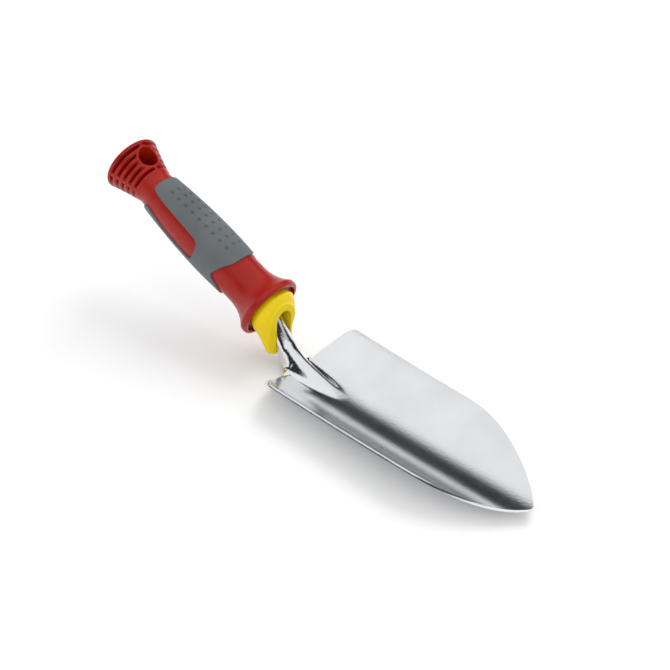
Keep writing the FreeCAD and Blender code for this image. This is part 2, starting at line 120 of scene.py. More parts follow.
def along(stops: Sequence[Pair], at: float) -> float:
    """Smooth curve through stops.

    Args:
        stops: Pairs of place and value, in rising order of place.
        at: Place to read.

    Returns:
        The value there, held level beyond both ends.
    """
    if at <= stops[0][0]:
        return stops[0][1]
    if at >= stops[-1][0]:
        return stops[-1][1]
    k = max(i for i in range(len(stops) - 1) if stops[i][0] <= at)
    (x0, y0), (x1, y1) = stops[k], stops[k + 1]
    before = stops[k - 1] if k else stops[k]
    after = stops[k + 2] if k + 2 < len(stops) else stops[k + 1]
    run = x1 - x0
    slope0 = (y1 - before[1]) / (x1 - before[0]) * run
    slope1 = (after[1] - y0) / (after[0] - x0) * run
    t = (at - x0) / run
    return (
        y0 * (2 * t**3 - 3 * t**2 + 1)
        + slope0 * (t**3 - 2 * t**2 + t)
        + y1 * (3 * t**2 - 2 * t**3)
        + slope1 * (t**3 - t**2)
    )


@dataclass(frozen=True)
class Stance:
    """How the trowel lies: the blade level on its back, the handle rising behind it.

    Lengths are in millimetres, as in the part's own design, and points come out in metres.
    """

    pitch: float = 19.8
    reach: float = 156.3
    blade_start: float = 164.6
    blade_drop: float = 0.65
    rim_height: float = 18.993
    tip_at: float = 158.46

    @classmethod
    def from_frame(cls) -> "Stance":
        """Stance whose blade tip stands where the frame's does."""
        return cls(tip_at=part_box("blade")[1].x / MM)

    def blade(self, u: float, y: float, v: float) -> Point:
        """Point at u along the blade, y across it and v above its rim plane."""
        return ((u + self.tip_at - self.reach) * MM, y * MM, (v + self.rim_height) * MM)

    def handle(self, x: float, y: float, z: float) -> Point:
        """Point given in the handle's own axes.

        Args:
            x: Place along the axis from the butt.
            y: Distance across.
            z: Height above the axis.

        Returns:
            The point in the frame.
        """
        turn = math.radians(self.pitch)
        run, rise = x - self.blade_start, z + self.blade_drop
        u = run * math.cos(turn) + rise * math.sin(turn)
        v = -run * math.sin(turn) + rise * math.cos(turn)
        return self.blade(u, y, v)

    def axes(self) -> tuple[Vector, Vector]:
        """Unit vectors along the handle, butt to blade, and up from it."""
        turn = math.radians(self.pitch)
        return (
            Vector((math.cos(turn), 0.0, -math.sin(turn))),
            Vector((math.sin(turn), 0.0, math.cos(turn))),
        )


# ---------------------------------------------------------------- node helpers


class Nodes:
    """Small builder for a material's or a world's node tree."""

    def __init__(self, tree: bpy.types.NodeTree) -> None:
        """Keeps the tree that the nodes go in."""
        self.tree = tree

    def add(self, kind: str, **settings: object) -> bpy.types.Node:
        """New node.

        Args:
            kind: Node type name.
            **settings: Properties of the node, set by name.

        Returns:
            The node.
        """
        node = self.tree.nodes.new(kind)
        for name, value in settings.items():
            setattr(node, name, value)
        return node

    def link(self, source: Socket, target: Socket) -> None:
        """Joins two sockets."""
        self.tree.links.new(source, target)

    def calc(self, operation: str, *values: Socket | float) -> Socket:
        """One maths node on sockets or numbers.

        Args:
            operation: Name of the operation.
            *values: Its inputs, in order.

        Returns:
            The result's socket.
        """
        node = self.add("ShaderNodeMath", operation=operation)
        for k, value in enumerate(values):
            if isinstance(value, (int, float)):
                node.inputs[k].default_value = value
            else:
                self.link(value, node.inputs[k])
        return node.outputs[0]

    def noise(self, vector: Socket, scale: float, detail: float = 3.0) -> Socket:
        """Noise pattern, as its factor socket.

        Args:
            vector: Coordinates to read.
            scale: Noise scale.
            detail: Layers of detail.

        Returns:
            The factor socket.
        """
        node = self.add("ShaderNodeTexNoise")
        node.inputs["Scale"].default_value = scale
        node.inputs["Detail"].default_value = detail
        self.link(vector, node.inputs["Vector"])
        return node.outputs["Fac"]

    def spread(
        self, value: Socket, low: float, high: float, start: float = 0.3, end: float = 0.7
    ) -> Socket:
        """Remaps a value from start-end to low-high.

        Args:
            value: Socket to read.
            low: Result at the start.
            high: Result at the end.
            start: Value that gives low.
            end: Value that gives high.

        Returns:
            The remapped socket.
        """
        node = self.add("ShaderNodeMapRange")
        for name, number in (("From Min", start), ("From Max", end), ("To Min", low), ("To Max", high)):
            node.inputs[name].default_value = number
        self.link(value, node.inputs["Value"])
        return node.outputs["Result"]

    def tint(self, factor: Socket, dark: Colour, light: Colour) -> Socket:
        """Mix of two colours by a factor.

        Args:
            factor: Socket from 0 to 1.
            dark: Colour at 0.
            light: Colour at 1.

        Returns:
            The colour socket.
        """
        node = self.add("ShaderNodeMix", data_type="RGBA")
        for socket in node.inputs:
            if socket.identifier == "A_Color":
                socket.default_value = (*dark, 1.0)
            if socket.identifier == "B_Color":
                socket.default_value = (*light, 1.0)
        self.link(factor, node.inputs["Factor"])
        return next(s for s in node.outputs if s.identifier == "Result_Color")

    def bump(self, height: Socket, depth: float, under: Socket | None = None) -> Socket:
        """Bump from a height.

        Args:
            height: Height socket, 0 to 1.
            depth: Depth of the pattern in metres.
            under: Normal of an earlier bump, if any.

        Returns:
            The normal socket.
        """
        node = self.add("ShaderNodeBump")
        node.inputs["Strength"].default_value = 1.0
        node.inputs["Distance"].default_value = depth
        self.link(height, node.inputs["Height"])
        if under is not None:
            self.link(under, node.inputs["Normal"])
        return node.outputs["Normal"]


def fresh_material(name: str) -> tuple[Material, Nodes, bpy.types.Node, Socket]:
    """Empty node material.

    Args:
        name: Material name.

    Returns:
        The material, its node builder, its main shader and its Object coordinates.
    """
    material = bpy.data.materials.new(name)
    material.use_nodes = True
    nodes = Nodes(material.node_tree)
    shader = material.node_tree.nodes["Principled BSDF"]
    return material, nodes, shader, nodes.add("ShaderNodeTexCoord").outputs["Object"]


# ---------------------------------------------------------------- finishes


@dataclass(frozen=True)
class PolishedSteel:
    """Mirror-polished stainless sheet with fine polishing lines and faint handling marks."""

    name: str = "polished_steel"
    tone: Colour = (0.84, 0.85, 0.86)
    shade: Colour = (0.76, 0.77, 0.79)
    gloss: float = 0.16
    neck_gloss: float = 0.05
    neck_span: Pair = (-0.004, 0.022)
    line_scale: Point = (90.0, 3200.0, 3200.0)
    line_depth: float = 0.000005
    speck_scale: float = 700.0
    speck_depth: float = 0.00006

    def material(self) -> Material:
        """Node material of this finish.

        Returns:
            The material.
        """
        material, nodes, shader, place = fresh_material(self.name)
        stretch = nodes.add("ShaderNodeMapping")
        stretch.inputs["Scale"].default_value = self.line_scale
        nodes.link(place, stretch.inputs["Vector"])
        lines = nodes.noise(stretch.outputs["Vector"], 1.0, 4.0)
        cloud = nodes.noise(place, 38.0, 4.0)
        specks = nodes.noise(place, self.speck_scale, 4.0)
        shader.inputs["Metallic"].default_value = 1.0
        nodes.link(nodes.tint(nodes.spread(cloud, 0.0, 1.0), self.shade, self.tone),
                   shader.inputs["Base Color"])
        parts = nodes.add("ShaderNodeSeparateXYZ")
        nodes.link(place, parts.inputs[0])
        dull = nodes.spread(parts.outputs["X"], self.neck_gloss, self.gloss, *self.neck_span)
        rough = nodes.calc("ADD", dull, nodes.spread(lines, -0.02, 0.05))
        nodes.link(rough, shader.inputs["Roughness"])
        fine = nodes.bump(lines, self.line_depth)
        nodes.link(nodes.bump(specks, self.speck_depth, fine), shader.inputs["Normal"])
        return material


@dataclass(frozen=True)
class MouldedPlastic:
    """Satin moulded plastic with a fine spark-eroded skin, slight flow clouds and worn sheen."""

    name: str
    tone: Colour
    shade: Colour
    rough: float = 0.36
    grain: float = 0.000012
    grain_scale: float = 2600.0
    shine: float = 0.3

    def material(self) -> Material:
        """Node material of this finish.

        Returns:
            The material.
        """
        material, nodes, shader, place = fresh_material(self.name)
        cloud = nodes.noise(place, 30.0, 4.0)
        skin = nodes.noise(place, self.grain_scale, 3.0)
        scuffs = nodes.noise(place, 240.0, 5.0)
        nodes.link(nodes.tint(nodes.spread(cloud, 0.0, 1.0), self.shade, self.tone),
                   shader.inputs["Base Color"])
        sheen = nodes.spread(cloud, self.rough - 0.05, self.rough + 0.06)
        rough = nodes.calc("ADD", sheen, nodes.spread(scuffs, -0.03, 0.08))
        nodes.link(rough, shader.inputs["Roughness"])
        shader.inputs["Specular IOR Level"].default_value = self.shine
        nodes.link(nodes.bump(skin, self.grain), shader.inputs["Normal"])
        return material


@dataclass(frozen=True)
class SoftRubber:
    """Matt soft-touch rubber, stippled, with dust held in the stipple."""

    name: str = "soft_rubber"
    tone: Colour = (0.135, 0.150, 0.160)
    shade: Colour = (0.100, 0.112, 0.120)
    rough: float = 0.62
    stipple_scale: float = 1500.0
    stipple_depth: float = 0.00006

    def material(self) -> Material:
        """Node material of this finish.

        Returns:
            The material.
        """
        material, nodes, shader, place = fresh_material(self.name)
        cloud = nodes.noise(place, 45.0, 4.0)
        cells = nodes.add("ShaderNodeTexVoronoi")
        cells.inputs["Scale"].default_value = self.stipple_scale
        nodes.link(place, cells.inputs["Vector"])
        nodes.link(nodes.tint(nodes.spread(cloud, 0.0, 1.0), self.shade, self.tone),
                   shader.inputs["Base Color"])
        rough = nodes.spread(cloud, self.rough - 0.06, self.rough + 0.08)
        nodes.link(rough, shader.inputs["Roughness"])
        nodes.link(nodes.bump(cells.outputs["Distance"], self.stipple_depth), shader.inputs["Normal"])
        return material


@dataclass(frozen=True)
class PaleFloor:
    """Seamless pale studio floor, matt, with a trace of tone."""

    name: str = "pale_floor"
    tone: Colour = (0.93, 0.93, 0.93)
    shade: Colour = (0.91, 0.91, 0.915)

    def material(self) -> Material:
        """Node material of this finish.

        Returns:
            The material.
        """
        material, nodes, shader, place = fresh_material(self.name)
        cloud = nodes.noise(place, 2.0, 3.0)
        nodes.link(nodes.tint(cloud, self.shade, self.tone), shader.inputs["Base Color"])
        shader.inputs["Roughness"].default_value = 0.85
        shader.inputs["Specular IOR Level"].default_value = 0.1
        return material


# ---------------------------------------------------------------- mesh helpers


def new_object(name: str, verts: Sequence[Point], faces: Sequence[Sequence[int]]) -> Piece:
    """Smooth-shaded mesh object in the scene.

    Args:
        name: Piece name.
        verts: Corner points in metres.
        faces: Corner numbers of each face.

    Returns:
        The object, with doubles merged and faces pointing one way.
    """
    mesh = bpy.data.meshes.new(name)
    mesh.from_pydata(list(verts), [], list(faces))
    obj = bpy.data.objects.new(name, mesh)
    bpy.context.scene.collection.objects.link(obj)
    shape = bmesh.new()
    shape.from_mesh(mesh)
    bmesh.ops.remove_doubles(shape, verts=shape.verts, dist=MERGE)
    bmesh.ops.dissolve_degenerate(shape, edges=shape.edges, dist=MERGE)
    bmesh.ops.recalc_face_normals(shape, faces=shape.faces)
    shape.to_mesh(mesh)
    shape.free()
    return obj


def settle(obj: Piece, crease: float = 35.0) -> Piece:
    """Turns an object's modifiers into its own mesh and shades it.

    Args:
        obj: Piece with modifiers.
        crease: Angle in degrees past which an edge stays sharp.

    Returns:
        The same object.
    """
    bpy.context.view_layer.update()
    seen = obj.evaluated_get(bpy.context.evaluated_depsgraph_get())
    mesh = bpy.data.meshes.new_from_object(seen)
    obj.modifiers.clear()
    old = obj.data
    obj.data = mesh
    bpy.data.meshes.remove(old)
    mesh.name = obj.name
    for face in mesh.polygons:
        face.use_smooth = True
    mesh.set_sharp_from_angle(angle=math.radians(crease))
    return obj


def paint(obj: Piece, material: Material) -> None:
    """Gives an object one material."""
    obj.data.materials.clear()
    obj.data.materials.append(material)


def place(obj: Piece, slot: Slot, *nodes: str) -> None:
    """Puts a finished piece on the body, and reports it.

    Args:
        obj: The piece.
        slot: Its material slot; not used.
        *nodes: CAD nodes that it stands in for.
    """
    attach(obj, "root")
    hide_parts(*nodes)
    LOG.info("%s: %d faces, in place of %s", obj.name, len(obj.data.polygons), ", ".join(nodes))


def soften(obj: Piece, width: float, steps: int, angle: float) -> None:
    """Adds a bevel on an object's sharp edges.

    Args:
        obj: The piece.
        width: Width of the bevel in metres.
        steps: Faces round each edge.
        angle: Angle in degrees from which an edge counts as sharp.
    """
    bevel = obj.modifiers.new("edges", "BEVEL")
    bevel.width = width
    bevel.segments = steps
    bevel.limit_method = "ANGLE"
    bevel.angle_limit = math.radians(angle)


def rounded_copy(name: str, node: Piece, width: float, steps: int = 2) -> Piece:
    """Copy of a CAD node with its sharp edges rounded.

    Args:
        name: Piece name.
        node: CAD node to start from.
        width: Radius of the edges in metres.
        steps: Faces round each edge.

    Returns:
        The finished object.
    """
    obj = bpy.data.objects.new(name, node.data.copy())
    bpy.context.scene.collection.objects.link(obj)
    shape = bmesh.new()
    shape.from_mesh(obj.data)
    bmesh.ops.remove_doubles(shape, verts=shape.verts, dist=CAD_MERGE)
    bmesh.ops.dissolve_degenerate(shape, edges=shape.edges, dist=CAD_MERGE)
    shape.to_mesh(obj.data)
    shape.free()
    soften(obj, width, steps, 32.0)
    return settle(obj)


# ---------------------------------------------------------------- sub-assemblies


@dataclass
class PressedBlade:
    """Dished steel blade with its raised heel and the neck that runs into the collar. Millimetres."""

    stance: Stance
    reach: float = 156.3
    rim_half: float = 39.2
    rim_taper: float = 1.9
    shoulder_at: float = 88.0
    point_curve: float = 84.5
    tip_round: float = 3.0
    corner_round: float = 8.0
    corner_join: float = 35.06
    corner_side: float = 31.2
    corner_end: float = 4.7
    dish_depth: float = 17.6
    dish_radius: float = 52.5
    spine_radius: float = 2200.0
    metal: float = 1.5
    edge: float = 0.42
    rim_lean: float = 1.0
    lean_run: float = 30.0
    ridge_root: float = 12.8
    neck_half: float = 6.2
    neck_bend: float = 0.58
    neck_steps: int = 48
    rows: int = 170
    ridge_columns: int = 18
    wing_columns: int = 34

    def half_width(self, u: float) -> float:
        """Half-width of the blade's outline.

        Args:
            u: Place along the blade.

        Returns:
            The half-width there.
        """
        if u <= self.shoulder_at:
            return self.rim_half - self.rim_taper * max(0.0, u) / self.shoulder_at
        centre_u, centre_y = self.point_centre()
        lean = math.atan2(-centre_y, self.reach - centre_u)
        nose = self.reach - self.tip_round / math.cos(lean)
        turn_at = nose + self.tip_round * math.cos(lean)
        if u > turn_at:
            return math.sqrt(max(0.0, self.tip_round**2 - (u - nose) ** 2))
        return centre_y + math.sqrt(self.point_curve**2 - (u - centre_u) ** 2)

    def nose_end(self) -> float:
        """Place of the rounded tip's end.

        Returns:
            Its distance along the blade.
        """
        centre_u, centre_y = self.point_centre()
        lean = math.atan2(-centre_y, self.reach - centre_u)
        return self.reach - self.tip_round / math.cos(lean) + self.tip_round

    def point_centre(self) -> Pair:
        """Centre of the arc that runs from the shoulder to the tip.

        Returns:
            The centre, along and across the blade.
        """
        half = self.rim_half - self.rim_taper
        run = self.reach - self.shoulder_at
        chord = math.hypot(run, half)
        inset = math.sqrt(self.point_curve**2 - (chord / 2) ** 2)
        return (
            self.shoulder_at + run / 2 - inset * half / chord,
            half / 2 - inset * run / chord,
        )

    def heel_edge(self, y: float) -> float:
        """Place of the blade's rear edge, with its rounded corner.

        Args:
            y: Distance across the blade.

        Returns:
            The edge's place along the blade.
        """
        side = abs(y)
        if side <= self.corner_join:
            return along(HEEL_STOPS, side)
        drop = self.corner_round**2 - (side - self.corner_side) ** 2
        return self.corner_end - math.sqrt(max(0.0, drop))

    def crown(self, u: float) -> Pair:
        """Height of the raised heel above the dish at u, and its half-width."""
        return along(CROWN_RISE, u), along(CROWN_HALF, u)

    def height(self, u: float, y: float) -> float:
        """Height of the blade's upper face above the rim plane.

        Args:
            u: Place along the blade.
            y: Distance across it.

        Returns:
            The height, negative in the dish.
        """
        floor = (
            -self.dish_depth
            + self.dish_radius
            - math.sqrt(self.dish_radius**2 - y * y)
            + u * u / (2 * self.spine_radius)
        )
        rise, width = self.crown(u)
        return floor + rise * (1.0 - self.flank(abs(y) / width))

    @staticmethod
    def flank(part: float, steepness: float = 2.6, lean: float = 0.88) -> float:
        """Fall of the raised heel's side, with both ends rounded.

        Args:
            part: 0 at its crown, 1 at its foot.
            steepness: How sharply the middle falls.
            lean: How far the fall is drawn to the crown.

        Returns:
            0 at the crown to 1 at the foot.
        """
        if part >= 1.0:
            return 1.0
        inner, outer = part**lean, 1.0 - part**lean
        return inner**steepness / (inner**steepness + outer**steepness)

    def columns(self) -> list[float]:
        """Places of the blade's columns.

        Returns:
            The places, as parts of the half-width.
        """
        root = self.ridge_root / self.rim_half
        count = self.ridge_columns
        middle = [root * k / count for k in range(-count, count + 1)]
        wing = []
        for k in range(1, self.wing_columns + 1):
            part = k / self.wing_columns
            wing.append(root + (1.0 - root) * (0.45 * part + 0.55 * math.sin(part * math.pi / 2)))
        return [-w for w in reversed(wing)] + middle + wing

    def neck_station(self, at: float) -> tuple[Pair, Pair, float]:
        """Crown, foot and half-width of the neck.

        Args:
            at: Station number, from 0 at the blade to 8 inside the collar.

        Returns:
            The crown point and the foot point as (u, v) pairs, and the half-width.
        """
        values = [
            along([(float(i), row[k]) for i, row in enumerate(NECK_STATIONS)], at) for k in range(5)
        ]
        return (values[0], values[1]), (values[2], values[3]), values[4]

    def neck_point(self, at: float, part: float) -> Point:
        """Point of the neck's upper skin.

        Args:
            at: Station number.
            part: -1 to 1 across the neck.

        Returns:
            The point in the frame.
        """
        crown, foot, half = self.neck_station(at)
        q = abs(part)
        bend = self.neck_bend
        narrow = min(half, self.neck_half)
        if q < bend:
            swing = math.pi / 2 * q / bend
            across, drop = narrow * math.sin(swing), 0.5 * (1.0 - math.cos(swing))
        else:
            across, drop = narrow, 0.5 + 0.5 * (q - bend) / (1.0 - bend)
        flare = self.ridge_root * min(q, 0.5)
        if q > 0.5:
            flare += (half - flare) * (q - 0.5) / 0.5
        mix = smooth(at, 0.0, 3.0)
        across = flare + (across - flare) * mix
        drop = self.flank(q) * (1.0 - mix) + drop * mix
        u = crown[0] + (foot[0] - crown[0]) * drop
        v = crown[1] + (foot[1] - crown[1]) * drop
        return self.stance.blade(u, math.copysign(across, part), v)

    def build(self) -> Piece:
        """Makes the sheet, thickens it and rounds its edges.

        Returns:
            The blade's object.
        """
        columns = self.columns()
        verts: list[Point] = []
        faces: list[tuple[int, ...]] = []
        end = self.nose_end()
        for i in range(self.rows + 1):
            part = i / self.rows
            part = part * 0.75 + 0.25 * math.sin(part * math.pi / 2)
            for column in columns:
                start = self.heel_edge(column * self.rim_half)
                u = start + part * (end - start)
                lean = self.rim_lean * smooth(end - u, 0.0, self.lean_run)
                y = column * max(0.0, self.half_width(u) - lean)
                verts.append(self.stance.blade(u, y, self.height(u, y)))
        wide = len(columns)
        for i in range(self.rows):
            for j in range(wide - 1):
                a = i * wide + j
                faces.append((a, a + wide, a + wide + 1, a + 1))
        first = self.wing_columns
        count = 2 * self.ridge_columns + 1
        last_row = list(range(first, first + count))
        last_station = len(NECK_STATIONS) - 1.0
        for i in range(1, self.neck_steps + 1):
            row = []
            for j in range(count):
                row.append(len(verts))
                at = last_station * i / self.neck_steps
                verts.append(self.neck_point(at, j / self.ridge_columns - 1.0))
            for j in range(count - 1):
                faces.append((row[j], last_row[j], last_row[j + 1], row[j + 1]))
            last_row = row
        obj = new_object("blade_sheet", verts, faces)
        self.face_up(obj)
        sheet = obj.modifiers.new("metal", "SOLIDIFY")
        sheet.thickness = self.metal * MM
        sheet.offset = -1.0
        sheet.use_even_offset = False
        soften(obj, self.edge * MM, 3, 55.0)
        return settle(obj, 50.0)

    @staticmethod
    def face_up(obj: Piece) -> None:
        """Turns an open sheet so that its faces point up.

        Args:
            obj: The sheet.
        """
        shape = bmesh.new()
        shape.from_mesh(obj.data)
        up = sum(face.normal.z * face.calc_area() for face in shape.faces)
        if up < 0.0:
            bmesh.ops.reverse_faces(shape, faces=shape.faces)
        shape.to_mesh(obj.data)
        shape.free()

    def dress(self, obj: Piece) -> None:
        """Polishes the blade and puts it in place."""
        paint(obj, PolishedSteel().material())
        place(obj, Slot.STEEL, "blade")


@dataclass
class NoseCollar:
    """Plastic nose: a round base drawn down to a horseshoe front. Millimetres."""

    stance: Stance
    seat_at: float = 126.9
    base_at: float = 131.6
    base_radius: float = 15.3
    front_top_at: float = 136.5
    front_foot_at: float = 149.0
    front_top: float = 11.0
    front_foot: float = -18.0
    front_half: float = 10.9
    foot_round: float = 1.4
    side_setback: float = 0.12
    nose_round: float = 1.6
    round_steps: int = 6
    undercut: float = 0.9
    edge: float = 0.35
    slot_half: float = 6.0
    slot_top: float = 7.0
    stages: int = 14
    around: int = 64

    def front_outline(self) -> list[Pair]:
        """Outer line of the front face.

        Returns:
            Points (y, z) from its left foot over the top to its right foot.
        """
        half, bend = self.front_half, self.front_top - self.front_half
        turn = self.foot_round
        points: list[Pair] = [(-self.slot_half, self.front_foot)]
        points += [(-(half - turn) - turn * math.sin(a), self.front_foot + turn * (1.0 - math.cos(a)))
                   for a in (math.radians(15 * k) for k in range(7))]
        points += [(-half * math.cos(a), bend + half * math.sin(a))
                   for a in (math.radians(4 * k) for k in range(46))]
        points += [(-y, z) for y, z in reversed(points[:8])]
        return points

    def base_outline(self) -> list[Pair]:
        """Outer line of the base.

        Returns:
            Points (y, z) from its left foot over the top to its right foot.
        """
        gap = math.asin(self.slot_half / self.base_radius)
        span = math.pi - gap
        return [(self.base_radius * math.sin(a), self.base_radius * math.cos(a))
                for a in (-span + 2 * span * k / 180 for k in range(181))]

    @staticmethod
    def spaced(line: Sequence[Pair], count: int) -> list[Pair]:
        """Points at equal distances along a line.

        Args:
            line: Corner points.
            count: Number of points wanted, less one.

        Returns:
            The spaced points.
        """
        lengths = [0.0]
        for a, b in zip(line, line[1:]):
            lengths.append(lengths[-1] + math.dist(a, b))
        result = []
        for k in range(count + 1):
            want = lengths[-1] * k / count
            i = min(len(line) - 2, max(j for j in range(len(line)) if lengths[j] <= want + 1e-9))
            run = lengths[i + 1] - lengths[i]
            t = (want - lengths[i]) / run if run else 0.0
            result.append((line[i][0] + (line[i + 1][0] - line[i][0]) * t,
                           line[i][1] + (line[i + 1][1] - line[i][1]) * t))
        return result

    def slot_outline(self, foot: float) -> list[Pair]:
        """Inner line of the slot.

        Args:
            foot: Height of its open end.

        Returns:
            Points (y, z) from its right foot over its arch to its left foot.
        """
        spring = self.slot_top - self.slot_half
        line = [(self.slot_half, foot)]
        line += [(self.slot_half * math.cos(a), spring + self.slot_half * math.sin(a))
                 for a in (math.radians(6 * k) for k in range(31))]
        line.append((-self.slot_half, foot))
        return self.spaced(line, self.around)

    def front_at(self, y: float, z: float) -> float:
        """Place of the slanted front face, whose outer parts are set back.

        Args:
            y: Distance across.
            z: Height above the handle's axis.

        Returns:
            The place along the handle.
        """
        slope = (self.front_foot_at - self.front_top_at) / (self.front_top - self.front_foot)
        low = smooth(-z, -4.0, 12.0)
        setback = self.side_setback * max(0.0, abs(y) - self.slot_half) ** 2 * low
        return self.front_top_at + (self.front_top - z) * slope - setback

    def build(self) -> Piece:
        """Lofts the horseshoe from the base to the slanted front.

        Returns:
            The collar's object.
        """
        base_line = self.spaced(self.base_outline(), self.around)
        front_line = self.spaced(self.front_outline(), self.around)
        base_foot = base_line[0][1]
        base_slot, front_slot = self.slot_outline(base_foot), self.slot_outline(self.front_foot)
        verts: list[Point] = []
        faces: list[tuple[int, ...]] = []
        ring = 2 * (self.around + 1)
        for y, z in [(y * self.undercut, z * self.undercut) for y, z in base_line] + base_slot:
            verts.append(self.stance.handle(self.seat_at, y, z))
        levels = self.stages + self.round_steps
        for i in range(levels + 1):
            run = min(1.0, i / self.stages)
            draw = run**1.5
            swing = math.pi / 2 * max(0, i - self.stages) / self.round_steps
            for k, (base, front) in enumerate(((base_line, front_line), (base_slot, front_slot))):
                inset = 0.0 if k else self.nose_round * (1.0 - math.cos(swing))
                for (y0, z0), (y1, z1) in zip(base, front):
                    y, z = y0 + (y1 - y0) * draw, z0 + (z1 - z0) * draw
                    arm = math.hypot(y, z)
                    end = self.front_at(y1, z1) - self.nose_round * (1.0 - math.sin(swing))
                    x = self.base_at + (end - self.base_at) * run
                    part = 1.0 - inset / arm
                    verts.append(self.stance.handle(x, y * part, z * part))
        for i in range(levels + 1):
            for j in range(ring):
                a, b = i * ring + j, i * ring + (j + 1) % ring
                faces.append((a, a + ring, b + ring, b))
        for first, turned in ((0, False), ((levels + 1) * ring, True)):
            for j in range(self.around):
                a, b = first + j, first + ring - 1 - j
                quad = (a, a + 1, b - 1, b)
                faces.append(quad[::-1] if turned else quad)
        obj = new_object("nose_collar", verts, faces)
        soften(obj, self.edge * MM, 2, 40.0)
        return settle(obj)

    def dress(self, obj: Piece) -> None:
        """Colours the collar and puts it in place."""
        paint(obj, MouldedPlastic("yellow_plastic", (0.93, 0.70, 0.0), (0.86, 0.62, 0.0)).material())
        place(obj, Slot.COLLAR, "collar")


